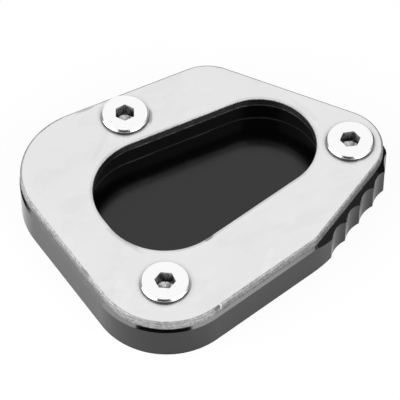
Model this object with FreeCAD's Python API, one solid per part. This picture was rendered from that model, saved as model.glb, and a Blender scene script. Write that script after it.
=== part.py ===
import FreeCAD, Part
import math
import os

# Kickstand foot enlarger, lying flat on the ground.
# The taper's axis is X, with the wide heel towards -X and the narrow toe towards +X.
# Z is up, the underside is at z = 0 and the origin is under the middle of the whole outline.

# Heights
BASE_THICKNESS = 8.3
PLATE_THICKNESS = 2.2
POCKET_FLOOR = 2.2
PLATE_TOP = BASE_THICKNESS + PLATE_THICKNESS

# Plate outline: each side is a line at a distance from the origin, and its angle is its normal's
QUARTER_TURN = 90.0
TAPER_ANGLE = 6.7
HEEL_ANGLE = 2.0 * QUARTER_TURN
BACK_ANGLE = QUARTER_TURN - TAPER_ANGLE
FRONT_ANGLE = 3.0 * QUARTER_TURN + TAPER_ANGLE
TOE_ANGLE = 32.2
GRIP_ANGLE = 292.9
HEEL_OFFSET = 37.0
BACK_OFFSET = 28.4
FRONT_OFFSET = 28.2
TOE_OFFSET = 28.0
GRIP_OFFSET = 28.5

# Plate corners, named after the two sides that they join
TOE_BACK_RADIUS = 9.8
BACK_HEEL_RADIUS = 17.3
HEEL_FRONT_RADIUS = 15.7
FRONT_GRIP_RADIUS = 3.0
GRIP_TOE_RADIUS = 10.15

# Opening in the plate, with sides parallel to the heel, back and front, and a square toe end
OPENING_HEEL_OFFSET = 26.25
OPENING_BACK_OFFSET = 14.7
OPENING_FRONT_OFFSET = 13.1
OPENING_TOE_OFFSET = 25.2
OPENING_HEEL_RADIUS = 14.0
OPENING_TOE_RADIUS = 12.2

# Rounds along the plate's top edges, outside and in the opening
PLATE_EDGE_ROUND = 0.6
OPENING_EDGE_ROUND = 0.25

# Base: how far it stands out past the plate
BASE_REACH = 0.5
HEEL_REACH = 0.6
GRIP_REACH = 1.4
BASE_BACK_HEEL_RADIUS = 18.8
BASE_FRONT_GRIP_RADIUS = 30.0
BASE_GRIP_TOE_RADIUS = 11.5

# Slope that leads down and out from the plate's lower edge, steeper along the grip edge
SLOPE_FALL = 3.6
SLOPE_REACH = 3.0
GRIP_SLOPE_REACH = 2.4

# Pocket in the base, wider than the opening so that the stand's foot is held under the plate
POCKET_REACH = 1.5
POCKET_FLOOR_FILLET = 0.15

# Scallops along the grip edge, and more that follow the bend of the toe corner
SCALLOP_RADIUS = 6.7
SCALLOP_DEPTH = 0.7
SCALLOP_PITCH = 5.65
SCALLOP_COUNT = 4
FIRST_SCALLOP_AT = 4.1
CORNER_SCALLOP_DEPTH = 0.6
CORNER_SCALLOP_ANGLES = (-40.0, -13.0)
RIDGE_ROUND = 0.25

# M6 screws with a very low head: the key socket reaches down into the shank
THREAD_RADIUS = 3.0
THREAD_CLEARANCE = 0.05
PLATE_HOLE_CLEARANCE = 0.25
HEAD_RADIUS = 5.25
HEAD_HEIGHT = 1.1
HEAD_BEVEL = 0.35
KEY_ACROSS_FLATS = 4.0
KEY_DEPTH = 2.9
KEY_CONE_DEPTH = 0.5
SCREW_LENGTH = 10.0
SCREW_TIP_BEVEL = 0.6
SCREWS = {
    "screw_side": {"x": -7.2, "y": 23.3, "key_turn": 58.5},
    "screw_toe": {"x": 29.4, "y": -9.8, "key_turn": 35.5},
    "screw_heel": {"x": -24.6, "y": -19.5, "key_turn": 20.5},
}

UP = FreeCAD.Vector(0, 0, 1)
SAME_PLACE = 1e-6
SMOOTH_ANGLE = math.radians(5.0)


def direction(angle_deg):
    """Unit vector in the ground plane."""
    angle = math.radians(angle_deg)
    return FreeCAD.Vector(math.cos(angle), math.sin(angle), 0)


def meeting_point(normal_a, offset_a, normal_b, offset_b):
    """Point where two lines cross, each given by its normal's angle and its distance from the origin."""
    a = direction(normal_a)
    b = direction(normal_b)
    cross = a.x * b.y - a.y * b.x
    x = (offset_a * b.y - offset_b * a.y) / cross
    y = (a.x * offset_b - b.x * offset_a) / cross
    return FreeCAD.Vector(x, y, 0)


def corner_centre(side, following):
    """Centre of the round corner between two sides, of which the first one states the radius."""
    normal, offset, radius = side
    next_normal, next_offset, _ = following
    return meeting_point(normal, offset - radius, next_normal, next_offset - radius)


def rounded_outline(sides, grow=0.0, z=0.0):
    """Closed wire of straight sides and round corners.

    Each side is (normal angle, offset, radius of the corner that follows it), anticlockwise.
    """
    grown = [(normal, offset + grow, radius + grow) for normal, offset, radius in sides]
    arcs = []
    for index, side in enumerate(grown):
        following = grown[(index + 1) % len(grown)]
        centre = corner_centre(side, following)
        radius = side[2]
        turn = (following[0] - side[0]) % 360.0
        start = centre + direction(side[0]) * radius
        middle = centre + direction(side[0] + turn / 2.0) * radius
        end = centre + direction(side[0] + turn) * radius
        arcs.append((start, middle, end))
    lift = UP * z
    edges = []
    for index, (start, middle, end) in enumerate(arcs):
        next_start = arcs[(index + 1) % len(arcs)][0]
        edges.append(Part.Arc(start + lift, middle + lift, end + lift).toShape())
        edges.append(Part.LineSegment(end + lift, next_start + lift).toShape())
    return Part.Wire(edges)


def prism(wire, height):
    """Upright solid on a closed wire."""
    return Part.Face(wire).extrude(UP * height)


def plate_sides():
    """The sides of the plate, anticlockwise from the slanting one at the toe."""
    return [
        (TOE_ANGLE, TOE_OFFSET, TOE_BACK_RADIUS),
        (BACK_ANGLE, BACK_OFFSET, BACK_HEEL_RADIUS),
        (HEEL_ANGLE, HEEL_OFFSET, HEEL_FRONT_RADIUS),
        (FRONT_ANGLE, FRONT_OFFSET, FRONT_GRIP_RADIUS),
        (GRIP_ANGLE, GRIP_OFFSET, GRIP_TOE_RADIUS),
    ]


def base_sides():
    """The plate's sides pushed out, furthest along the grip edge, with a long soft bend before it."""
    return [
        (TOE_ANGLE, TOE_OFFSET + BASE_REACH, TOE_BACK_RADIUS + BASE_REACH),
        (BACK_ANGLE, BACK_OFFSET + BASE_REACH, BASE_BACK_HEEL_RADIUS),
        (HEEL_ANGLE, HEEL_OFFSET + HEEL_REACH, HEEL_FRONT_RADIUS + HEEL_REACH),
        (FRONT_ANGLE, FRONT_OFFSET + BASE_REACH, BASE_FRONT_GRIP_RADIUS),
        (GRIP_ANGLE, GRIP_OFFSET + GRIP_REACH, BASE_GRIP_TOE_RADIUS),
    ]


def slope_sides():
    """The plate's sides pushed out to the foot of the slope."""
    sides = []
    for normal, offset, radius in plate_sides():
        reach = GRIP_SLOPE_REACH if normal == GRIP_ANGLE else SLOPE_REACH
        sides.append((normal, offset + reach, radius + reach))
    return sides


def opening_sides():
    """The sides of the opening, anticlockwise from its square toe end."""
    return [
        (0.0, OPENING_TOE_OFFSET, OPENING_TOE_RADIUS),
        (BACK_ANGLE, OPENING_BACK_OFFSET, OPENING_HEEL_RADIUS),
        (HEEL_ANGLE, OPENING_HEEL_OFFSET, OPENING_HEEL_RADIUS),
        (FRONT_ANGLE, OPENING_FRONT_OFFSET, OPENING_TOE_RADIUS),
    ]


def screw_position(name, z):
    place = SCREWS[name]
    return FreeCAD.Vector(place["x"], place["y"], z)


def edges_at_height(shape, z):
    """The edges that lie level at one height."""
    found = []
    for edge in shape.Edges:
        box = edge.BoundBox
        if abs(box.ZMin - z) < SAME_PLACE and abs(box.ZMax - z) < SAME_PLACE:
            found.append(edge)
    return found


def sharp_ridges(shape):
    """The upright edges where two faces don't run smoothly into each other."""
    found = []
    for edge in shape.Edges:
        box = edge.BoundBox
        if box.XLength > SAME_PLACE or box.YLength > SAME_PLACE:
            continue
        normals = []
        for face in shape.ancestorsOfType(edge, Part.Face):
            u, v = face.Surface.parameter(box.Center)
            normals.append(face.normalAt(u, v))
        if normals[0].getAngle(normals[1]) > SMOOTH_ANGLE:
            found.append(edge)
    return found


def sloping_body():
    """Everything under the slope that falls away from the plate's lower edge on all sides."""
    slope_foot = BASE_THICKNESS - SLOPE_FALL
    lower = rounded_outline(slope_sides(), 0.0, slope_foot)
    upper = rounded_outline(plate_sides(), 0.0, BASE_THICKNESS)
    slope = Part.makeLoft([lower, upper], True, True)
    block = prism(rounded_outline(slope_sides()), slope_foot)
    return block.fuse(slope).removeSplitter()


def scallop_cutters():
    """Upright cylinders that cut the hollows between the ridges."""
    grip = base_sides()[-1]
    toe = base_sides()[0]
    grip_reach = grip[1] - SCALLOP_DEPTH + SCALLOP_RADIUS
    first = direction(GRIP_ANGLE) * grip_reach
    along = direction(GRIP_ANGLE + QUARTER_TURN)
    centres = []
    for index in range(SCALLOP_COUNT):
        centres.append(first + along * (FIRST_SCALLOP_AT + SCALLOP_PITCH * index))
    corner_reach = BASE_GRIP_TOE_RADIUS - CORNER_SCALLOP_DEPTH + SCALLOP_RADIUS
    for angle in CORNER_SCALLOP_ANGLES:
        centres.append(corner_centre(grip, toe) + direction(angle) * corner_reach)
    return [Part.makeCylinder(SCALLOP_RADIUS, BASE_THICKNESS, centre, UP) for centre in centres]


def foot_pocket():
    """Pocket for the stand's foot, with a small fillet round its floor."""
    outline = rounded_outline(opening_sides(), POCKET_REACH, POCKET_FLOOR)
    pocket = prism(outline, BASE_THICKNESS - POCKET_FLOOR)
    return pocket.makeFillet(POCKET_FLOOR_FILLET, edges_at_height(pocket, POCKET_FLOOR))


def make_base():
    """Base with the scalloped grip edge, the pocket and the threaded holes."""
    body = prism(rounded_outline(base_sides()), BASE_THICKNESS)
    for cutter in scallop_cutters():
        body = body.cut(cutter)
    body = body.makeFillet(RIDGE_ROUND, sharp_ridges(body))
    body = body.common(sloping_body())
    body = body.cut(foot_pocket())
    hole_radius = THREAD_RADIUS + THREAD_CLEARANCE
    for name in SCREWS:
        body = body.cut(Part.makeCylinder(hole_radius, BASE_THICKNESS, screw_position(name, 0.0), UP))
    return body


def make_top_plate():
    """Plate with rounded top edges, whose opening is narrower than the pocket under it."""
    plate = prism(rounded_outline(plate_sides(), 0.0, BASE_THICKNESS), PLATE_THICKNESS)
    plate = plate.makeFillet(PLATE_EDGE_ROUND, edges_at_height(plate, PLATE_TOP))
    opening = prism(rounded_outline(opening_sides(), 0.0, BASE_THICKNESS), PLATE_THICKNESS)
    plate = plate.cut(opening)
    top_edges = edges_at_height(plate, PLATE_TOP)
    rim = [edge for edge in top_edges if edge.distToShape(opening)[0] < SAME_PLACE]
    plate = plate.makeFillet(OPENING_EDGE_ROUND, rim)
    hole_radius = THREAD_RADIUS + PLATE_HOLE_CLEARANCE
    for name in SCREWS:
        place = screw_position(name, BASE_THICKNESS)
        plate = plate.cut(Part.makeCylinder(hole_radius, PLATE_THICKNESS, place, UP))
    return plate


def key_socket(top, key_turn):
    """Hexagonal socket below a point, with a cone at its floor."""
    corner_radius = KEY_ACROSS_FLATS / math.sqrt(3.0)
    floor = top - UP * KEY_DEPTH
    corners = []
    for index in range(6):
        corners.append(floor + direction(key_turn + 60.0 * index) * corner_radius)
    hexagon = prism(Part.makePolygon(corners + corners[:1]), KEY_DEPTH)
    floor_cone = Part.makeCone(0.0, KEY_ACROSS_FLATS / 2.0, KEY_CONE_DEPTH, floor - UP * KEY_CONE_DEPTH, UP)
    return hexagon.fuse(floor_cone)


def make_screw(name):
    """Screw turned from one profile, with its head on the plate and a socket for a hex key."""
    profile = [
        (0.0, -SCREW_LENGTH),
        (THREAD_RADIUS - SCREW_TIP_BEVEL, -SCREW_LENGTH),
        (THREAD_RADIUS, SCREW_TIP_BEVEL - SCREW_LENGTH),
        (THREAD_RADIUS, 0.0),
        (HEAD_RADIUS, 0.0),
        (HEAD_RADIUS, HEAD_HEIGHT - HEAD_BEVEL),
        (HEAD_RADIUS - HEAD_BEVEL, HEAD_HEIGHT),
        (0.0, HEAD_HEIGHT),
    ]
    seat = screw_position(name, PLATE_TOP)
    points = [seat + FreeCAD.Vector(radius, 0, height) for radius, height in profile]
    section = Part.Face(Part.makePolygon(points + points[:1]))
    screw = section.revolve(seat, UP, 360.0)
    return screw.cut(key_socket(seat + UP * HEAD_HEIGHT, SCREWS[name]["key_turn"]))


def main():
    """Build every piece, put the origin under the middle of the base and write the files."""
    os.makedirs("parts", exist_ok=True)
    pieces = {"base": make_base(), "top_plate": make_top_plate()}
    for name in SCREWS:
        pieces[name] = make_screw(name)
    middle = prism(rounded_outline(base_sides()), BASE_THICKNESS).BoundBox.Center
    to_middle = FreeCAD.Vector(-middle.x, -middle.y, 0)
    print("moved by x %.4f, y %.4f to put the origin under the middle" % (to_middle.x, to_middle.y))
    for name, shape in pieces.items():
        solid = shape.Solids[0].translated(to_middle)
        print("%s: valid %s, volume %.1f" % (name, solid.isValid(), solid.Volume))
        solid.exportStep("parts/%s.step" % name)


main()
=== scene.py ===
"""Looks of the kickstand foot enlarger: a black anodised base, a satin plate and three bright screws."""

import logging
import math
from collections.abc import Callable
from dataclasses import dataclass, field
from enum import Enum
from typing import Union

import bpy
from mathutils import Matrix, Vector


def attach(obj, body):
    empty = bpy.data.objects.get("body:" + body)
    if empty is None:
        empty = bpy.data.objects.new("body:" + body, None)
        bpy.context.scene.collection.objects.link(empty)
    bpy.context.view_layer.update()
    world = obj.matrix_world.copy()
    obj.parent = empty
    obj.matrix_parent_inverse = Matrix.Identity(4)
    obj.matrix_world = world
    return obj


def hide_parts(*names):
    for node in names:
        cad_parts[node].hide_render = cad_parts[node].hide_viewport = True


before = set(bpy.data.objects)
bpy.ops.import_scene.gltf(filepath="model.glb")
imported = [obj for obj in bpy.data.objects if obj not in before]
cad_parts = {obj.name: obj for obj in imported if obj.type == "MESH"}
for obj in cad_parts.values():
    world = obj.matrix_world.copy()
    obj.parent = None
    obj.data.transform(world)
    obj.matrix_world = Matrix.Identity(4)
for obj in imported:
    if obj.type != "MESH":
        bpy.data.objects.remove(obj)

LOG = logging.getLogger("foot_enlarger")
MM = 0.001
NEAR_MM = 0.001
Number = Union[int, float]


class Signal:
    """A shader socket that can be used in Python sums, which add their Math nodes."""

    def __init__(self, graph: "ShaderGraph", socket: bpy.types.NodeSocket) -> None:
        """Wraps one output socket of a graph.

        Args:
            graph: The graph that the socket belongs to.
            socket: The output socket.
        """
        self.graph = graph
        self.socket = socket

    def _math(self, operation: str, *values: Union["Signal", Number]) -> "Signal":
        """Adds a Math node.

        Args:
            operation: The node's operation.
            values: Its inputs, in order.

        Returns:
            The node's value.
        """
        inputs = dict(enumerate(values))
        return self.graph.node("ShaderNodeMath", {"operation": operation}, inputs)

    def __add__(self, other: Union["Signal", Number]) -> "Signal":
        """Sum."""
        return self._math("ADD", self, other)

    __radd__ = __add__

    def __mul__(self, other: Union["Signal", Number]) -> "Signal":
        """Product."""
        return self._math("MULTIPLY", self, other)

    __rmul__ = __mul__

    def __sub__(self, other: Union["Signal", Number]) -> "Signal":
        """Difference."""
        return self._math("SUBTRACT", self, other)

    def __rsub__(self, other: Number) -> "Signal":
        """Difference, with the number first."""
        return self._math("SUBTRACT", other, self)

    def __truediv__(self, other: Union["Signal", Number]) -> "Signal":
        """Quotient."""
        return self._math("DIVIDE", self, other)

    def at_least(self, other: Union["Signal", Number]) -> "Signal":
        """The larger of two values."""
        return self._math("MAXIMUM", self, other)

    def size(self) -> "Signal":
        """The value without its sign."""
        return self._math("ABSOLUTE", self)

    def angle_with(self, other: "Signal") -> "Signal":
        """The angle in degrees of a direction, where this is the sine's part and the other the cosine's."""
        return self._math("ARCTAN2", self, other) * math.degrees(1.0)

    def ramp(self, low: Number, high: Number) -> "Signal":
        """Rises smoothly from 0 to 1.

        Args:
            low: Where the rise starts.
            high: Where it ends; lower than its start for a fall.

        Returns:
            The smooth step.
        """
        settings = {"interpolation_type": "SMOOTHSTEP"}
        if low < high:
            return self.graph.node("ShaderNodeMapRange", settings, {0: self, 1: low, 2: high})
        return 1 - self.graph.node("ShaderNodeMapRange", settings, {0: self, 1: high, 2: low})


class ShaderGraph:
    """A node tree with one method that adds any node."""

    def __init__(self, tree: bpy.types.NodeTree) -> None:
        """Empties a node tree.

        Args:
            tree: The tree of a material or of the world.
        """
        self.tree = tree
        tree.nodes.clear()

    def node(
        self,
        kind: str,
        settings: dict[str, object] | None = None,
        inputs: dict[int | str, object] | None = None,
        output: int | str = 0,
    ) -> Signal:
        """Adds a node.

        Args:
            kind: The node's type.
            settings: The node's own properties, set first. A ramp's stops are its "stops".
            inputs: Values or signals for its input sockets.
            output: The output socket that is returned.

        Returns:
            The output socket.
        """
        made = self.tree.nodes.new(kind)
        for key, value in (settings or {}).items():
            if key == "stops":
                self._set_stops(made.color_ramp, value)
            else:
                setattr(made, key, value)
        for key, value in (inputs or {}).items():
            if isinstance(value, Signal):
                self.tree.links.new(value.socket, made.inputs[key])
            else:
                made.inputs[key].default_value = value
        return Signal(self, made.outputs[output] if made.outputs else None)

    @staticmethod
    def _set_stops(ramp: bpy.types.ColorRamp, stops: list[tuple[float, float]]) -> None:
        """Gives a ramp its grey stops.

        Args:
            ramp: The ramp.
            stops: Position and grey value of each stop.
        """
        while len(ramp.elements) < len(stops):
            ramp.elements.new(0.5)
        for element, (position, grey) in zip(ramp.elements, stops):
            element.position = position
            element.color = (grey, grey, grey, 1.0)

    def noise(self, vector: Signal, scale: float, detail: float = 2.0, rough: float = 0.5) -> Signal:
        """Noise between 0 and 1.

        Args:
            vector: Where it is read.
            scale: Its scale.
            detail: Its octaves.
            rough: How strong the fine octaves are.

        Returns:
            The noise.
        """
        inputs = {"Vector": vector, "Scale": scale, "Detail": detail, "Roughness": rough}
        return self.node("ShaderNodeTexNoise", {}, inputs, "Fac")

    def blend(
        self, share: Signal, first: tuple[float, float, float], second: tuple[float, float, float]
    ) -> Signal:
        """Goes from one colour to another.

        Args:
            share: How much of the second colour.
            first: The first colour.
            second: The second colour.

        Returns:
            The colour.
        """
        inputs = {0: share, 6: (*first, 1.0), 7: (*second, 1.0)}
        return self.node("ShaderNodeMix", {"data_type": "RGBA"}, inputs, 2)

    def shaded(self, colour: Signal, level: Signal) -> Signal:
        """A colour made lighter or darker.

        Args:
            colour: The colour.
            level: What it is multiplied by.

        Returns:
            The colour.
        """
        return self.node("ShaderNodeVectorMath", {"operation": "SCALE"}, {0: colour, "Scale": level})

    def length(self, vector: Signal) -> Signal:
        """The length of a vector."""
        return self.node("ShaderNodeVectorMath", {"operation": "LENGTH"}, {0: vector}, 1)

    def dot(self, first: Signal, second: Signal | tuple[float, float, float]) -> Signal:
        """The scalar product of two vectors."""
        return self.node("ShaderNodeVectorMath", {"operation": "DOT_PRODUCT"}, {0: first, 1: second}, 1)

    def parts(self, vector: Signal) -> tuple[Signal, Signal, Signal]:
        """The X, Y and Z of a vector."""
        split = self.node("ShaderNodeSeparateXYZ", {}, {0: vector}).socket.node.outputs
        return Signal(self, split[0]), Signal(self, split[1]), Signal(self, split[2])

    def object_point(self) -> Signal:
        """The point on the piece, in the row frame."""
        return self.node("ShaderNodeTexCoord", {}, {}, "Object")

    def normal(self) -> Signal:
        """The surface's normal."""
        return self.node("ShaderNodeNewGeometry", {}, {}, "Normal")

    def mapped(
        self,
        vector: Signal,
        location: tuple[float, float, float] = (0, 0, 0),
        scale: tuple[float, float, float] = (1, 1, 1),
        turn: float = 0.0,
    ) -> Signal:
        """Scales coordinates, turns them about Z and then moves them.

        Args:
            vector: The coordinates.
            location: The move.
            scale: The scales.
            turn: The turn about Z, in radians.

        Returns:
            The mapped coordinates.
        """
        inputs = {"Vector": vector, "Location": location, "Scale": scale, "Rotation": (0, 0, turn)}
        return self.node("ShaderNodeMapping", {"vector_type": "POINT"}, inputs)

    def off_outline(self, point: Signal, sides: tuple[tuple[float, float, float], ...]) -> Signal:
        """How far a point is outside an upright wall with straight sides and round corners.

        Args:
            point: The point, in metres.
            sides: The angle of each side's normal in degrees, the side's distance from the origin, and the
                radius of the corner after it; both in mm.

        Returns:
            The distance in mm, negative inside.
        """
        flat = self.mapped(point, scale=(1 / MM, 1 / MM, 0))
        turns = [math.radians(angle) for angle, _, _ in sides]
        normals = [Vector((math.cos(turn), math.sin(turn), 0)) for turn in turns]
        offsets = [offset for _, offset, _ in sides]
        nearest = None
        for normal, offset in zip(normals, offsets):
            distance = self.dot(flat, tuple(normal)) - offset
            nearest = distance if nearest is None else nearest.at_least(distance)
        for index, (_, _, radius) in enumerate(sides):
            other = (index + 1) % len(sides)
            first, second = normals[index], normals[other]
            near, far = offsets[index] - radius, offsets[other] - radius
            middle = Vector((near * second.y - far * first.y, far * first.x - near * second.x, 0))
            middle = middle / first.cross(second).z
            moved = self.mapped(flat, location=tuple(-middle))
            past_first = self.dot(moved, (-first.y, first.x, 0)).ramp(-NEAR_MM, NEAR_MM)
            past_second = self.dot(moved, (second.y, -second.x, 0)).ramp(-NEAR_MM, NEAR_MM)
            nearest = nearest + past_first * past_second * (self.length(moved) - radius - nearest)
        return nearest

    def bump(self, height: Signal, depth: float) -> Signal:
        """A normal bent by a height.

        Args:
            height: The height, from 0 to 1.
            depth: How deep 1 is, in mm.

        Returns:
            The normal.
        """
        inputs = {"Height": height, "Distance": depth * MM, "Strength": 1.0}
        return self.node("ShaderNodeBump", {}, inputs)


@dataclass(frozen=True)
class Grain:
    """One noise of a finish, which may be stretched, turned and sharpened."""

    scale: float
    detail: float = 2.0
    rough: float = 0.5
    stretch: tuple[float, float, float] | None = None
    turn: float = 0.0
    steps: tuple[float, float] | None = None

    def read(self, graph: ShaderGraph, point: Signal) -> Signal:
        """Reads the noise at a point.

        Args:
            graph: The material's graph.
            point: The point on the piece, in metres.

        Returns:
            The noise between 0 and 1, sharpened between its steps where it has them.
        """
        place = point
        if self.stretch is not None:
            place = graph.mapped(point, scale=self.stretch, turn=self.turn)
        noise = graph.noise(place, self.scale, self.detail, self.rough)
        return noise if self.steps is None else noise.ramp(*self.steps)


@dataclass(frozen=True)
class Finish:
    """What every finish of this part has."""

    name: str
    colour: tuple[float, float, float]
    metallic: float
    roughness: float

    def material(self) -> bpy.types.Material:
        """Makes the node material.

        Returns:
            The material.
        """
        made = bpy.data.materials.new(self.name)
        made.use_nodes = True
        made.diffuse_color = (*self.colour, 1.0)
        graph = ShaderGraph(made.node_tree)
        shader = graph.node("ShaderNodeBsdfPrincipled", {}, self.inputs(graph))
        graph.node("ShaderNodeOutputMaterial", {}, {"Surface": shader})
        return made

    def inputs(self, graph: ShaderGraph) -> dict[int | str, object]:
        """Values and signals for the Principled shader.

        Args:
            graph: The material's graph.

        Returns:
            The inputs by socket name.
        """
        return {
            "Base Color": (*self.colour, 1.0),
            "Metallic": self.metallic,
            "Roughness": self.roughness,
        }


OPENING = ((0.0, 25.35, 12.2), (83.3, 14.77, 14.0), (180.0, 26.10, 14.0), (276.7, 13.06, 12.2))


@dataclass(frozen=True)
class BlackAnodised(Finish):
    """Milled aluminium with a black anodised skin that mirrors the studio faintly. Lengths are in mm."""

    name: str = "black anodised"
    colour: tuple[float, float, float] = (0.001, 0.001, 0.0011)
    metallic: float = 0.0
    roughness: float = 0.07
    ior: float = 1.5
    mill_marks: Grain = Grain(1.0, 3.0, 0.6, stretch=(180, 180, 1500))
    mark_depth: float = 0.0006
    clouds: Grain = Grain(140.0, 3.0)
    cloud_roughness: float = 0.04
    specks: Grain = Grain(3500.0, 1.0, steps=(0.68, 0.78))
    speck_roughness: float = 0.12
    level_steps: tuple[float, float] = (0.97, 0.995)
    pocket_steps: tuple[float, float] = (3.0, 2.5)
    pocket_floor: float = 2.2
    floor_roughness: float = 0.16
    corner_below: tuple[float, float] = (-0.2, -0.1)
    corner_above: tuple[float, float] = (0.5, 0.3)
    corner_roughness: float = 0.9
    corner_patches: Grain = Grain(150.0, steps=(0.4, 0.65))
    corner_patchiness: float = 0.4

    def inputs(self, graph: ShaderGraph) -> dict[int | str, object]:
        """Adds mill marks, a little unevenness and the duller floor of the pocket to the plain finish."""
        point = graph.object_point()
        uneven = self.roughness + self.cloud_roughness * self.clouds.read(graph, point)
        uneven = uneven + self.speck_roughness * self.specks.read(graph, point)
        made = super().inputs(graph)
        made["Roughness"] = uneven + self._in_pocket(graph, point)
        made["Normal"] = graph.bump(self.mill_marks.read(graph, point), self.mark_depth)
        made["IOR"] = self.ior
        return made

    def _in_pocket(self, graph: ShaderGraph, point: Signal) -> Signal:
        """How much duller the pocket's floor and the corner round it are.

        Args:
            graph: The material's graph.
            point: The point on the base.

        Returns:
            What is added to the roughness, which is 0 outside the pocket.
        """
        level = graph.parts(graph.normal())[2].ramp(*self.level_steps)
        height = graph.parts(point)[2] / MM
        low = height.ramp(*(self.pocket_floor + step for step in self.corner_below))
        corner = (1 - level) * low * height.ramp(*(self.pocket_floor + step for step in self.corner_above))
        pocket = graph.off_outline(point, OPENING).ramp(*self.pocket_steps)
        patchy = 1 - self.corner_patchiness * self.corner_patches.read(graph, point)
        floor = level * (self.floor_roughness - self.roughness)
        return pocket * (floor + corner * patchy * self.corner_roughness)


@dataclass(frozen=True)
class Mark:
    """One small mark on the plate: a smudge or painted shade that is darker, or a nick that is brighter.
    Lengths are in mm.

    It fades between its steps, which are shares of its half length and half width.
    """

    place: tuple[float, float, float]
    length: float
    width: float
    turn_deg: float
    change: float
    steps: tuple[float, float] = (1.5, 0.9)

    def share(self, graph: ShaderGraph, point: Signal, ragged: Signal) -> Signal:
        """How much the mark changes the plate's brightness at a point.

        Args:
            graph: The material's graph.
            point: The point on the plate.
            ragged: Noise that frays the mark's outline.

        Returns:
            The change, which is 0 outside.
        """
        moved = graph.mapped(point, location=tuple(-value * MM for value in self.place))
        size = (2 / self.length / MM, 2 / self.width / MM, 2 / self.width / MM)
        turned = graph.mapped(moved, turn=-math.radians(self.turn_deg))
        distance = graph.length(graph.mapped(turned, scale=size))
        return (distance + ragged).ramp(*self.steps) * self.change


PLATE_MARKS = (
    # painted shade: the head's dark side mirrored in the plate, right of the side screw
    Mark((-2.65, 20.25, 10.5), 3.4, 1.0, 60.0, -0.4),
    Mark((-10.3, -14.6, 10.45), 2.0, 0.8, 10.0, -0.4),
    Mark((-17.8, -30.75, 9.8), 0.4, 1.5, 7.0, 0.9),
    Mark((-18.7, -30.6, 10.2), 1.5, 0.7, 7.0, -0.5),
    Mark((-36.6, -7.6, 10.2), 2.4, 0.6, 90.0, -0.4),
    Mark((-13.5, 29.5, 10.4), 3.6, 0.5, -7.0, -0.3),
    Mark((-25.6, -5.2, 10.5), 8.0, 1.1, 106.0, -0.14),
    Mark((-15.5, 19.5, 10.5), 8.0, 1.0, 35.0, -0.04),
    Mark((-33.5, -17.0, 10.5), 7.0, 3.0, 60.0, 0.03),
    Mark((-4.0, -27.0, 10.5), 10.0, 1.2, 40.0, 0.025),
    Mark((26.5, 3.0, 10.5), 7.0, 1.2, 100.0, -0.05),
)


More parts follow.
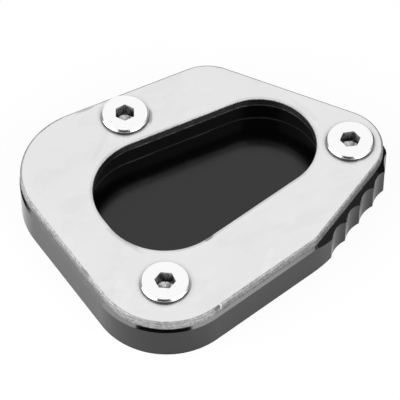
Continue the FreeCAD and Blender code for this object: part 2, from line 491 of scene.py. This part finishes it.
@dataclass(frozen=True)
class SatinPlate(Finish):
    """Satin plate with a faintly mottled top and striated edges, with painted shade on its edges, rim,
    opening and round the screws, and painted highlights at the rim and in the opening. Lengths are in mm.
    """

    name: str = "satin plate"
    colour: tuple[float, float, float] = (0.8, 0.8, 0.805)
    metallic: float = 1.0
    roughness: float = 0.34
    top_level: float = 0.965
    mottling: Grain = Grain(70.0, 4.0, 0.65)
    mottle_level: float = 0.09
    mottle_roughness: float = 0.06
    smears: Grain = Grain(1.0, 5.0, 0.65, stretch=(70, 150, 0), turn=0.5, steps=(0.5, 0.6))
    smear_level: float = 0.03
    fine_grain: Grain = Grain(6000.0)
    grain_depth: float = 0.003
    fraying: Grain = Grain(900.0, 3.0, 0.7)
    fray: float = 0.8
    # painted shade: the edges get a darker colour than the top
    edge_shade_colour: tuple[float, float, float] = (0.42, 0.42, 0.425)
    edge_steps: tuple[float, float] = (0.998, 0.93)
    rounding_steps: tuple[float, float] = (0.02, 0.2)
    # painted shade: the rounded shoulder of the edges is darker
    rounding_shade_level: float = 0.83
    rounding_roughness: float = 0.3
    rounding_calm: float = 0.4
    streaks: Grain = Grain(1.0, 3.0, 0.8, stretch=(600, 600, 5200), steps=(0.3, 0.7))
    crumbs: Grain = Grain(1.0, 2.0, 0.7, stretch=(1500, 1500, 2600), steps=(0.35, 0.65))
    patches: Grain = Grain(160.0, 2.0, 0.6)
    striae_levels: tuple[float, float, float] = (0.5, 0.5, 0.4)
    striae_mean: float = 0.7
    opening_up: tuple[float, float] = (0.8, 0.4)
    opening_inwards: tuple[float, float] = (0.0, -2.0)
    # painted shade on the opening's wall
    opening_shade_level: float = 0.27
    opening_streaks: float = 1.6
    opening_least: float = 0.4
    # height of the painted highlight line near the plate's lower edge, in mm
    highlight_line_height: float = 8.55
    line_steps: tuple[float, float] = (0.25, 0.05)
    line_level: float = 0.9
    line_breaks: Grain = Grain(260.0, 3.0, 0.8, steps=(0.35, 0.65))
    rim: tuple[tuple[float, float, float], ...] = OPENING
    rim_wobble: float = 0.25
    # painted highlight and painted shade lines at the rim of the opening
    rim_highlight: float = 0.12
    rim_highlight_steps: tuple[float, float] = (0.4, 0.25)
    rim_shade: float = 0.16
    rim_shade_inside: tuple[float, float] = (0.3, 0.45)
    rim_shade_outside: tuple[float, float] = (0.9, 0.6)
    rim_shade_breaks: Grain = Grain(120.0, steps=(0.35, 0.6))
    rim_least: float = 0.4
    # painted shade on the edge above the grip
    grip_angle_deg: float = 292.9
    grip_steps: tuple[float, float] = (0.93, 0.99)
    grip_shade_level: float = 0.55
    screw_centres: tuple[tuple[float, float], ...] = ()
    rings: tuple[tuple[float, float], ...] = ((6.6, 0.88), (5.75, 0.55))
    ring_inside: float = 5.25

    def inputs(self, graph: ShaderGraph) -> dict[int | str, object]:
        """Adds the mottling of the top, the striations of the edges, painted shade and highlights on the
        edges, at the rim and in the opening, and marks.
        """
        point = graph.object_point()
        normal = graph.normal()
        up = graph.parts(normal)[2]
        edge = up.ramp(*self.edge_steps)
        rounding = edge * up.ramp(*self.rounding_steps)
        mottle = self.mottling.read(graph, point)
        streaks = self.streaks.read(graph, point)
        crumbs = self.crumbs.read(graph, point)
        fine, coarse, broad = self.striae_levels
        striated = fine * streaks + coarse * crumbs + broad * self.patches.read(graph, point)
        striated = edge * (1 - self.rounding_calm * rounding) * (striated - self.striae_mean)
        # striations of the edges, and painted shade on their rounded shoulder
        noise_and_shade = 1 - striated - rounding * (1 - self.rounding_shade_level)
        darker = self._opening_shade_and_highlight(graph, point, normal, streaks) * self._round_screws(graph, point)
        darker = darker * self._grip_shade(graph, normal)
        smears = self.smears.read(graph, point)
        level = self.top_level + self.mottle_level * mottle - self.smear_level * smears
        level = level + self._rim(graph, point, edge, mottle) + self._marks(graph, point)
        grain = self.fine_grain.read(graph, point) * (1 - edge) + (streaks + crumbs) * edge
        # painted shade: the edges take the darker edge colour
        tone = graph.blend(edge, self.colour, self.edge_shade_colour)
        rough = self.roughness + self.mottle_roughness * mottle
        made = super().inputs(graph)
        made["Base Color"] = graph.shaded(tone, level * noise_and_shade * darker)
        made["Roughness"] = rough + self.rounding_roughness * rounding
        made["Normal"] = graph.bump(grain, self.grain_depth)
        return made

    def _marks(self, graph: ShaderGraph, point: Signal) -> Signal:
        """What the smudges, the painted shade beside the side screw and the nicks add to the brightness."""
        ragged = self.fray * self.fraying.read(graph, point) - self.fray / 2
        return sum(mark.share(graph, point, ragged) for mark in PLATE_MARKS)

    def _rim(self, graph: ShaderGraph, point: Signal, edge: Signal, mottle: Signal) -> Signal:
        """What the painted highlight and painted shade at the rim of the opening add to the brightness.

        Args:
            graph: The material's graph.
            point: The point on the plate.
            edge: Mask of the edges, which have no grey line.
            mottle: Noise that the rim's lines wobble by.

        Returns:
            The painted highlight line at the rim, less the painted shade line outside it.
        """
        off_rim = graph.off_outline(point, self.rim) + self.rim_wobble * mottle
        # noise breaks up the painted shade line; the edges have none
        noise_and_shade = (1 - edge) * (self.rim_least + self.rim_shade_breaks.read(graph, point))
        grey = off_rim.ramp(*self.rim_shade_inside) * off_rim.ramp(*self.rim_shade_outside)
        return off_rim.ramp(*self.rim_highlight_steps) * self.rim_highlight - grey * self.rim_shade * noise_and_shade

    def _opening_shade_and_highlight(self, graph: ShaderGraph, point: Signal, normal: Signal, streaks: Signal) -> Signal:
        """How dark the opening's wall is in painted shade, with a painted highlight line near its lower edge.

        Args:
            graph: The material's graph.
            point: The point on the plate.
            normal: The surface's normal.
            streaks: The striations of the edges.

        Returns:
            What the brightness is multiplied by.
        """
        outwards = graph.dot(normal, graph.mapped(point, scale=(1, 1, 0))) / MM
        opening = graph.parts(normal)[2].ramp(*self.opening_up) * outwards.ramp(*self.opening_inwards)
        # painted highlight line near the plate's lower edge in the opening
        off_line = (graph.parts(point)[2] / MM - self.highlight_line_height).size()
        line = opening * off_line.ramp(*self.line_steps) * self.line_breaks.read(graph, point)
        # painted shade on the opening's wall, streaked
        wall_shade_level = self.opening_shade_level * (self.opening_streaks * streaks + self.opening_least)
        return 1 - opening * (1 - wall_shade_level - self.line_level * line)

    def _round_screws(self, graph: ShaderGraph, point: Signal) -> Signal:
        """How dark the plate is round the screws, whose heads keep the light off."""
        ring = 1.0
        for x, y in self.screw_centres:
            moved = graph.mapped(point, location=(-x * MM, -y * MM, 0), scale=(1, 1, 0))
            away = graph.length(moved) / MM
            for outside, grey in self.rings:
                ring = ring * (1 - (1 - grey) * away.ramp(outside, self.ring_inside))
        return ring

    def _grip_shade(self, graph: ShaderGraph, normal: Signal) -> Signal:
        """How dark the edge above the grip is: painted shade of the shadowed floor that it mirrors."""
        turn = math.radians(self.grip_angle_deg)
        grip = graph.dot(normal, (math.cos(turn), math.sin(turn), 0)).ramp(*self.grip_steps)
        return 1 - grip * (1 - self.grip_shade_level)


@dataclass(frozen=True)
class BrightSteel(Finish):
    """Turned stainless steel of one screw, rougher and darkened by painted shade on its head's side and in
    its socket. Lengths are in mm.
    """

    name: str = "bright steel"
    colour: tuple[float, float, float] = (0.95, 0.95, 0.952)
    metallic: float = 1.0
    roughness: float = 0.14
    centre: tuple[float, float] = (0.0, 0.0)
    top: float = 11.6
    bevel: float = 0.35
    key_depth: float = 3.2
    clouds: Grain = Grain(500.0, 3.0)
    cloud_roughness: float = 0.05
    turning_scale: float = 1400.0
    turning_wobble: float = 0.4
    turning_depth: float = 0.0002
    scratches: Grain = Grain(1.0, 2.0, 0.7, stretch=(2400, 900, 500), turn=0.6)
    dull_roughness: float = 0.12
    side_radius: tuple[float, float] = (4.5, 4.6)
    side_below_bevel: tuple[float, float] = (0.08, 0.3)
    # painted shade on the head's side
    side_level: float = 0.16
    socket_radius: tuple[float, float] = (2.45, 2.35)
    socket_start: tuple[float, float] = (0.0, 0.1)
    # painted shade on the socket's walls, darker with depth
    socket_shade_level: float = 0.25
    socket_least: float = 0.4
    socket_mottling: float = 1.4
    mottling_steps: tuple[float, float] = (0.35, 0.65)
    socket_fade: tuple[float, float] = (3.6, 0.8)
    socket_deep: float = 0.15
    socket_rim_level: float = 0.7
    socket_rim: tuple[float, float] = (0.9, 0.1)
    floor_step: float = 0.05
    floor_level: float = 0.8
    floor_roughness: float = 0.2
    floor_streaks: float = 0.75
    streak_steps: tuple[float, float] = (0.42, 0.62)

    def inputs(self, graph: ShaderGraph) -> dict[int | str, object]:
        """Adds turning marks, and the rougher side and socket with their painted shade."""
        place = (-self.centre[0] * MM, -self.centre[1] * MM, -self.top * MM)
        point = graph.mapped(graph.object_point(), location=place)
        radius = graph.length(graph.mapped(point, scale=(1, 1, 0))) / MM
        depth = graph.parts(point)[2] / -MM
        inside = radius.ramp(*self.socket_radius) * depth.ramp(*self.socket_start)
        floor = inside * depth.ramp(self.key_depth - self.floor_step, self.key_depth)
        walls = inside - floor
        side_start = (self.bevel + step for step in self.side_below_bevel)
        side = radius.ramp(*self.side_radius) * depth.ramp(*side_start)
        scratches = self.scratches.read(graph, point)
        wall_shade_level = self._wall_shade(depth, scratches)
        # painted shade on the head's side and the socket's walls
        darker = 1 - walls * (1 - wall_shade_level) - side * (1 - self.side_level) - floor * (1 - self.floor_level)
        streaked = 1 - floor * self.floor_streaks * scratches.ramp(*self.streak_steps)
        rougher = self.roughness + self.cloud_roughness * self.clouds.read(graph, point)
        rougher = rougher + self.dull_roughness * (walls + side)
        rings = graph.node(
            "ShaderNodeTexWave",
            {"wave_type": "RINGS", "rings_direction": "Z"},
            {"Vector": point, "Scale": self.turning_scale, "Distortion": self.turning_wobble, "Detail": 1.0},
            1,
        )
        made = super().inputs(graph)
        made["Base Color"] = graph.blend(darker * streaked, (0.0, 0.0, 0.0), self.colour)
        made["Roughness"] = rougher + self.floor_roughness * floor
        made["Normal"] = graph.bump(rings, self.turning_depth)
        return made

    def _wall_shade(self, depth: Signal, scratches: Signal) -> Signal:
        """How bright the socket's walls are in painted shade: brightest at the rim, and darker towards the
        floor.

        Args:
            depth: The depth below the head's top.
            scratches: The noise of the scratches.

        Returns:
            What the brightness is multiplied by.
        """
        mottled = self.socket_least + self.socket_mottling * scratches.ramp(*self.mottling_steps)
        shallow = depth.ramp(*self.socket_fade) + self.socket_deep
        return self.socket_shade_level * mottled * shallow + self.socket_rim_level * depth.ramp(*self.socket_rim)


class Operation(Enum):
    """What a second piece does to the first."""

    CUT = "DIFFERENCE"
    JOIN = "UNION"
    TRIM = "INTERSECT"


class Workbench:
    """The steps by hand that the pieces are made with. Its lengths are in millimetres.

    Points nearer than SAME_POINT are merged, and a face looks down if its normal's Z is below FACING_DOWN.
    """

    SAME_POINT = 0.0005
    FACING_DOWN = -0.9

    @staticmethod
    def only(piece: bpy.types.Object) -> None:
        """Selects one piece and nothing else."""
        bpy.ops.object.select_all(action="DESELECT")
        piece.select_set(True)
        bpy.context.view_layer.objects.active = piece

    @staticmethod
    def cylinder(
        name: str, low: float, high: float, radius: float, sides: int, turn: float = 0.0
    ) -> bpy.types.Object:
        """Adds an upright cylinder on the Z axis as a start for a piece.

        Args:
            name: The object's name.
            low: The height of its lower face.
            high: The height of its upper face.
            radius: Its radius.
            sides: How many sides it has.
            turn: Its turn about Z, in radians.

        Returns:
            The object, with its place in its mesh.
        """
        bpy.ops.object.select_all(action="DESELECT")
        bpy.ops.mesh.primitive_cylinder_add(
            vertices=sides,
            radius=radius * MM,
            depth=(high - low) * MM,
            location=(0, 0, (low + high) / 2 * MM),
            rotation=(0, 0, turn),
        )
        made = bpy.context.object
        made.name = name
        bpy.ops.object.transform_apply(location=True, rotation=True, scale=True)
        return made

    @staticmethod
    def chain(name: str, points: list[Vector]) -> bpy.types.Object:
        """Draws a line of edges by extruding one vertex from point to point.

        Args:
            name: The object's name.
            points: The points.

        Returns:
            The object, with its place in its mesh.
        """
        bpy.ops.object.select_all(action="DESELECT")
        bpy.ops.mesh.primitive_plane_add(size=MM, location=points[0] * MM)
        made = bpy.context.object
        made.name = name
        bpy.ops.object.transform_apply(location=True, rotation=True, scale=True)
        bpy.ops.object.mode_set(mode="EDIT")
        bpy.ops.mesh.select_mode(type="VERT")
        bpy.ops.mesh.select_all(action="SELECT")
        bpy.ops.mesh.merge(type="CENTER")
        for before, after in zip(points, points[1:]):
            bpy.ops.mesh.extrude_vertices_move(TRANSFORM_OT_translate={"value": (after - before) * MM})
        bpy.ops.object.mode_set(mode="OBJECT")
        return made

    @staticmethod
    def bevel(
        piece: bpy.types.Object, wanted: Callable[[Vector, Vector], bool], width: float, segments: int = 1
    ) -> None:
        """Bevels the edges that meet a test.

        Args:
            piece: The piece.
            wanted: Says of an edge's two ends whether it is bevelled.
            width: The bevel's width along each face.
            segments: Its segments.
        """
        Workbench.only(piece)
        points = [vertex.co / MM for vertex in piece.data.vertices]
        bpy.ops.object.mode_set(mode="EDIT")
        bpy.ops.mesh.select_mode(type="EDGE")
        bpy.ops.mesh.select_all(action="DESELECT")
        bpy.ops.object.mode_set(mode="OBJECT")
        for edge in piece.data.edges:
            edge.select = wanted(*(points[index] for index in edge.vertices))
        bpy.ops.object.mode_set(mode="EDIT")
        bpy.ops.mesh.bevel(offset=width * MM, segments=segments, offset_type="OFFSET")
        bpy.ops.object.mode_set(mode="OBJECT")

    @staticmethod
    def point_end(piece: bpy.types.Object, depth: float) -> None:
        """Pushes the lower face of a piece down to a point.

        Args:
            piece: The piece.
            depth: How far down the point is.
        """
        Workbench.only(piece)
        bpy.ops.object.mode_set(mode="EDIT")
        bpy.ops.mesh.select_mode(type="FACE")
        bpy.ops.mesh.select_all(action="DESELECT")
        bpy.ops.object.mode_set(mode="OBJECT")
        for face in piece.data.polygons:
            face.select = face.normal.z < Workbench.FACING_DOWN
        bpy.ops.object.mode_set(mode="EDIT")
        bpy.ops.mesh.extrude_region_move(TRANSFORM_OT_translate={"value": (0, 0, -depth * MM)})
        bpy.ops.mesh.merge(type="CENTER")
        bpy.ops.object.mode_set(mode="OBJECT")

    @staticmethod
    def close_ends(piece: bpy.types.Object) -> None:
        """Merges the doubles of a piece and closes its open ends, each with one face.

        Args:
            piece: The piece.
        """
        Workbench.only(piece)
        bpy.ops.object.mode_set(mode="EDIT")
        bpy.ops.mesh.select_all(action="SELECT")
        bpy.ops.mesh.remove_doubles(threshold=Workbench.SAME_POINT * MM)
        bpy.ops.mesh.select_all(action="SELECT")
        bpy.ops.mesh.fill_holes(sides=0)
        bpy.ops.object.mode_set(mode="OBJECT")

    @staticmethod
    def apply(piece: bpy.types.Object, kind: str, settings: dict[str, object]) -> None:
        """Adds a modifier and applies it.

        Args:
            piece: The piece.
            kind: The modifier's type.
            settings: Its properties.
        """
        Workbench.only(piece)
        modifier = piece.modifiers.new(kind.lower(), kind)
        for key, value in settings.items():
            setattr(modifier, key, value)
        bpy.ops.object.modifier_apply(modifier=modifier.name)

    @staticmethod
    def boolean(piece: bpy.types.Object, tool: bpy.types.Object, operation: Operation) -> None:
        """Cuts, joins or trims a piece with a second one, which is then thrown away.

        Args:
            piece: The piece.
            tool: The second piece.
            operation: What the second piece does.
        """
        settings = {"operation": operation.value, "solver": "EXACT", "object": tool}
        Workbench.apply(piece, "BOOLEAN", settings)
        bpy.data.objects.remove(tool)

    @staticmethod
    def tidy(piece: bpy.types.Object, smooth_deg: float) -> None:
        """Merges doubles, turns the faces outwards and shades the soft edges smooth.

        Args:
            piece: The piece.
            smooth_deg: Edges that bend by less are shaded smooth.
        """
        Workbench.only(piece)
        bpy.ops.object.mode_set(mode="EDIT")
        bpy.ops.mesh.select_all(action="SELECT")
        bpy.ops.mesh.remove_doubles(threshold=Workbench.SAME_POINT * MM)
        bpy.ops.mesh.normals_make_consistent(inside=False)
        bpy.ops.object.mode_set(mode="OBJECT")
        bpy.ops.object.shade_smooth_by_angle(angle=math.radians(smooth_deg))


@dataclass
class Screw:
    """Screw with a low head, a hex socket and a cut thread. In mm, with heights from the seat of its head.

    The thread's tooth is given by the shares of the pitch where its root ends, its crest starts and ends,
    and its root starts again.
    """

    node: str
    centre: tuple[float, float]
    key_turn_deg: float
    seat: float = 10.5
    head_radius: float = 5.25
    head_height: float = 1.1
    head_bevel: float = 0.35
    head_relief: float = 0.16
    edge_break: float = 0.04
    shank_radius: float = 3.0
    root_radius: float = 2.42
    crest_over: float = 0.05
    pitch: float = 1.0
    tooth: tuple[float, float, float, float] = (0.13, 0.44, 0.56, 0.87)
    turn_steps: int = 36
    turns_below: float = 3.0
    turns_more: int = 5
    length: float = 10.0
    neck: float = 1.2
    neck_under: float = 0.1
    neck_overlap: tuple[float, float] = (0.3, 0.2)
    tip_bevel: float = 0.6
    key_flats: float = 4.0
    key_depth: float = 3.2
    key_cone: float = 0.9
    key_clear: float = 0.5
    drill_under: float = 0.02
    drill_height: float = 0.2
    drill_sides: int = 48
    sides: int = 96
    smooth_deg: float = 20.0

    def _head(self) -> bpy.types.Object:
        """Turned head, bevelled above and relieved below, with its edges broken."""
        name = self.node + "_threaded"
        head = Workbench.cylinder(name, 0.0, self.head_height, self.head_radius, self.sides)
        high = self.head_height - NEAR_MM
        Workbench.bevel(head, lambda a, b: min(a.z, b.z) > high, self.head_bevel)
        Workbench.bevel(head, lambda a, b: max(a.z, b.z) < NEAR_MM, self.head_relief)
        off_seat = 10 * NEAR_MM
        Workbench.bevel(
            head, lambda a, b: abs(a.z - b.z) < NEAR_MM and a.z > off_seat, self.edge_break, segments=2
        )
        return head

    def _shank(self) -> bpy.types.Object:
        """Threaded shank with a plain neck and a bevelled tip."""
        shank = Workbench.cylinder("shank", -self.length, -self.neck, self.shank_radius, self.sides)
        tip = NEAR_MM - self.length
        Workbench.bevel(shank, lambda a, b: max(a.z, b.z) < tip, self.tip_bevel)
        Workbench.boolean(shank, self._thread(), Operation.TRIM)
        below, above = self.neck_overlap
        radius = self.shank_radius - self.neck_under
        neck = Workbench.cylinder("neck", -self.neck - below, above, radius, self.sides)
        Workbench.boolean(shank, neck, Operation.JOIN)
        return shank

    def _thread(self) -> bpy.types.Object:
        """Closed rod with the thread, thicker and longer than the shank that it trims."""
        root, crest = self.root_radius, self.shank_radius + self.crest_over
        root_end, crest_start, crest_end, root_start = self.tooth
        tooth = [(root, 0.0), (root, root_end), (crest, crest_start), (crest, crest_end)]
        tooth += [(root, root_start), (root, 1.0)]
        low = -self.length - self.turns_below * self.pitch
        points = [Vector((radius, 0, low + part * self.pitch)) for radius, part in tooth]
        rod = Workbench.chain("thread", points)
        settings = {
            "screw_offset": self.pitch * MM,
            "iterations": math.ceil((self.length - self.neck) / self.pitch) + self.turns_more,
            "steps": self.turn_steps,
            "render_steps": self.turn_steps,
            "use_merge_vertices": True,
            "merge_threshold": NEAR_MM * MM,
            "use_smooth_shade": False,
        }
        Workbench.apply(rod, "SCREW", settings)
        Workbench.close_ends(rod)
        Workbench.tidy(rod, self.smooth_deg)
        return rod

    def _key_cutter(self) -> bpy.types.Object:
        """What the key socket takes out: a hexagon that ends in a drilled cone."""
        floor = self.head_height - self.key_depth
        corner = self.key_flats / math.sqrt(3.0)
        turn = math.radians(self.key_turn_deg - 90.0)
        cutter = Workbench.cylinder("key", floor, self.head_height + self.key_clear, corner, 6, turn)
        radius = self.key_flats / 2 - self.drill_under
        drill = Workbench.cylinder("drill", floor, floor + self.drill_height, radius, self.drill_sides)
        Workbench.point_end(drill, self.key_cone)
        Workbench.boolean(cutter, drill, Operation.JOIN)
        return cutter

    def build(self) -> bpy.types.Object:
        """Makes the screw and puts it in the CAD screw's place.

        Returns:
            The screw.
        """
        screw = self._head()
        Workbench.boolean(screw, self._shank(), Operation.JOIN)
        Workbench.boolean(screw, self._key_cutter(), Operation.CUT)
        Workbench.tidy(screw, self.smooth_deg)
        screw.location = Vector((*self.centre, self.seat)) * MM
        Workbench.only(screw)
        bpy.ops.object.transform_apply(location=True, rotation=True, scale=True)
        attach(screw, "root")
        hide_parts(self.node)
        return screw

    def dress(self, screw: bpy.types.Object, finish: Finish) -> None:
        """Gives the screw its finish.

        Args:
            screw: The screw.
            finish: The finish.
        """
        screw.data.materials.clear()
        screw.data.materials.append(finish.material())


@dataclass
class Camera:
    """The view of the photograph."""

    target_mm: tuple[float, float, float] = (-6.30, -5.14, 10.57)
    azimuth_deg: float = -33.49
    elevation_deg: float = 52.0
    distance_mm: float = 600.0
    lens_mm: float = 253.8
    sensor_mm: float = 36.0

    def towards_camera(self) -> Vector:
        """Unit vector from the object to the camera."""
        azimuth = math.radians(self.azimuth_deg)
        elevation = math.radians(self.elevation_deg)
        level = math.cos(elevation)
        return Vector((math.sin(azimuth) * level, -math.cos(azimuth) * level, math.sin(elevation)))

    def build(self) -> None:
        """Makes the camera and gives it to the scene."""
        data = bpy.data.cameras.new("camera")
        data.lens = self.lens_mm
        data.sensor_width = self.sensor_mm
        made = bpy.data.objects.new("camera", data)
        back = self.towards_camera()
        made.location = (Vector(self.target_mm) + back * self.distance_mm) * MM
        made.rotation_mode = "QUATERNION"
        made.rotation_quaternion = (-back).to_track_quat("-Z", "Y")
        bpy.context.scene.collection.objects.link(made)
        bpy.context.scene.camera = made


@dataclass
class Softbox:
    """One large soft lamp, placed by its angles from the camera's side."""

    name: str
    azimuth_deg: float
    elevation_deg: float
    width_deg: float
    height_deg: float
    radiance: float
    distance_m: float = 0.5

    def build(self, front_deg: float, target: Vector) -> None:
        """Makes the lamp.

        Args:
            front_deg: The camera's azimuth, from which the lamp's is counted.
            target: The point that it faces.
        """
        azimuth = math.radians(front_deg + self.azimuth_deg)
        elevation = math.radians(self.elevation_deg)
        level = math.cos(elevation)
        out = Vector((math.sin(azimuth) * level, -math.cos(azimuth) * level, math.sin(elevation)))
        data = bpy.data.lights.new(self.name, "AREA")
        data.shape = "RECTANGLE"
        data.size = 2 * self.distance_m * math.tan(math.radians(self.width_deg / 2))
        data.size_y = 2 * self.distance_m * math.tan(math.radians(self.height_deg / 2))
        data.energy = math.pi * data.size * data.size_y * self.radiance
        made = bpy.data.objects.new(self.name, data)
        made.location = target + out * self.distance_m
        made.rotation_mode = "QUATERNION"
        made.rotation_quaternion = (-out).to_track_quat("-Z", "Y")
        bpy.context.scene.collection.objects.link(made)


@dataclass
class Studio:
    """Floor, pale room and lamps round the part. Places on the floor are in mm, to the camera's right."""

    camera: Camera
    floor_size_m: float = 0.24
    floor_gap: float = 0.02
    floor_grey: float = 0.95
    floor_glow: float = 0.93
    floor_reach: float = 40.0
    # painted light and painted shade: how pale the floor is in mirrors, across it
    floor_mirrored: tuple[tuple[float, float], ...] = (
        (-40.0, 0.55), (-22.0, 0.6), (-9.0, 0.42), (0.0, 0.45), (10.0, 0.33), (23.0, 0.3), (31.0, 0.12)
    )
    floor_end: tuple[float, float] = (44.0, 53.0)
    floor_end_grey: float = 0.06
    ambient: float = 0.5
    horizon: float = 0.08
    side_level: float = 1.0
    side_end_deg: tuple[float, float] = (102.0, 90.0)
    side_up: tuple[float, float] = (-0.08, 0.05)
    ceiling: float = 1.0
    ceiling_up: tuple[float, float] = (0.0, 0.6)
    shade_level: float = 0.05
    shade_azimuth_deg: float = -3.0
    shade_width_deg: float = 70.0
    shade_soft_deg: float = 5.0
    shade_top_deg: float = 54.0
    shade_top_soft: float = 0.06
    softboxes: list[Softbox] = field(
        default_factory=lambda: [
            Softbox("lamp_right", 48.0, 29.0, 36.0, 30.0, 6.0),
            Softbox("lamp_left", -69.0, 23.7, 58.0, 32.5, 5.0),
        ]
    )

    @staticmethod
    def _seen(graph: ShaderGraph) -> tuple[Signal, Signal]:
        """Masks of the rays that see the background.

        Args:
            graph: The graph that reads the light path.

        Returns:
            1 for rays from the camera, and 1 for rays in reflections and glass.
        """
        path = graph.node("ShaderNodeLightPath").socket.node.outputs
        mirrored = Signal(graph, path["Is Glossy Ray"]).at_least(Signal(graph, path["Is Transmission Ray"]))
        return Signal(graph, path["Is Camera Ray"]), mirrored

    def _floor_mirror(self, graph: ShaderGraph, across: Signal) -> Signal:
        """How pale the floor is in mirrors: painted light, paler on the large lamp's side, and painted shade,
        dim beside the grip edge.

        Args:
            graph: The floor's graph.
            across: How far right of the middle the point is for the camera, in mm.

        Returns:
            The share of white.
        """
        side = across / (2 * self.floor_reach) + 0.5
        stops = [(0.5 + right / self.floor_reach / 2, grey) for right, grey in self.floor_mirrored]
        return graph.node("ShaderNodeValToRGB", {"stops": stops}, {0: side})

    def _build_floor(self) -> None:
        """Makes the pale floor, which keeps the part's shadow and is dark in mirrors beyond the toe."""
        bpy.ops.object.select_all(action="DESELECT")
        bpy.ops.mesh.primitive_plane_add(size=self.floor_size_m, location=(0, 0, -self.floor_gap * MM))
        floor = bpy.context.object
        floor.name = "floor"
        made = bpy.data.materials.new("pale floor")
        made.use_nodes = True
        graph = ShaderGraph(made.node_tree)
        camera, mirrored = self._seen(graph)
        turned = graph.mapped(graph.object_point(), turn=-math.radians(self.camera.azimuth_deg))
        across = graph.parts(turned)[0] / MM
        unseen = mirrored * across.ramp(*self.floor_end)
        grey = graph.blend(unseen, (self.floor_grey,) * 3, (self.floor_end_grey,) * 3)
        diffuse = graph.node("ShaderNodeBsdfDiffuse", {}, {"Color": grey})
        glow = graph.node("ShaderNodeEmission", {}, {"Color": (1, 1, 1, 1), "Strength": 1.0})
        share = camera * self.floor_glow + mirrored * self._floor_mirror(graph, across) * (1 - unseen)
        mixed = graph.node("ShaderNodeMixShader", {}, {0: share, 1: diffuse, 2: glow})
        graph.node("ShaderNodeOutputMaterial", {}, {"Surface": mixed})
        floor.data.materials.append(made)

    def _paleness(self, graph: ShaderGraph) -> Signal:
        """How white the room is in a direction: pale above, dim at the horizon, dark behind the camera.

        Args:
            graph: The world's graph.

        Returns:
            The share of white.
        """
        ray = graph.node("ShaderNodeTexCoord", {}, {}, "Generated")
        turned = graph.mapped(ray, turn=-math.radians(self.camera.azimuth_deg + self.shade_azimuth_deg))
        side, back, up = graph.parts(turned)
        azimuth = side.angle_with(0 - back).size()
        half, soft = self.shade_width_deg / 2, self.shade_soft_deg
        top, top_soft = math.sin(math.radians(self.shade_top_deg)), self.shade_top_soft
        shade = azimuth.ramp(half + soft, half - soft) * up.ramp(top + top_soft, top - top_soft)
        sides = self.side_level * azimuth.ramp(*self.side_end_deg) * up.ramp(*self.side_up)
        pale = (self.horizon + (self.ceiling - self.horizon) * up.ramp(*self.ceiling_up)).at_least(sides)
        return pale - (pale - self.shade_level) * shade

    def _build_room(self) -> None:
        """Makes the room: white for the camera, pale with dim parts in mirrors, plain light elsewhere."""
        world = bpy.data.worlds.new("room")
        bpy.context.scene.world = world
        world.use_nodes = True
        graph = ShaderGraph(world.node_tree)
        camera, mirrored = self._seen(graph)
        background = camera + mirrored * self._paleness(graph)
        strength = background + (1 - camera - mirrored) * self.ambient
        room = graph.node("ShaderNodeBackground", {}, {"Color": (1, 1, 1, 1), "Strength": strength})
        graph.node("ShaderNodeOutputWorld", {}, {"Surface": room})

    def build(self) -> None:
        """Makes the floor, the room and the lamps."""
        self._build_floor()
        self._build_room()
        target = Vector(self.camera.target_mm) * MM
        for softbox in self.softboxes:
            softbox.build(self.camera.azimuth_deg, target)
        bpy.context.scene.view_settings.view_transform = "Standard"


SCREWS = (
    Screw("screw_side", (-7.0521, 23.3547), 58.5),
    Screw("screw_toe", (29.5479, -9.7453), 35.5),
    Screw("screw_heel", (-24.4521, -19.4453), 20.5),
)


def main() -> None:
    """Builds the studio and dresses every piece."""
    logging.basicConfig(level=logging.INFO, format="%(message)s")
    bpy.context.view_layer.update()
    camera = Camera()
    camera.build()
    Studio(camera).build()
    plate = SatinPlate(screw_centres=tuple(screw.centre for screw in SCREWS))
    for name, finish in (("base", BlackAnodised()), ("top_plate", plate)):
        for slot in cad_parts[name].material_slots:
            slot.material = finish.material()
        LOG.info("dressed %s", name)
    for screw in SCREWS:
        piece = screw.build()
        screw.dress(piece, BrightSteel(name=screw.node + " steel", centre=screw.centre))
        LOG.info("built %s with %d faces", piece.name, len(piece.data.polygons))


if __name__ == "__main__":
    main()
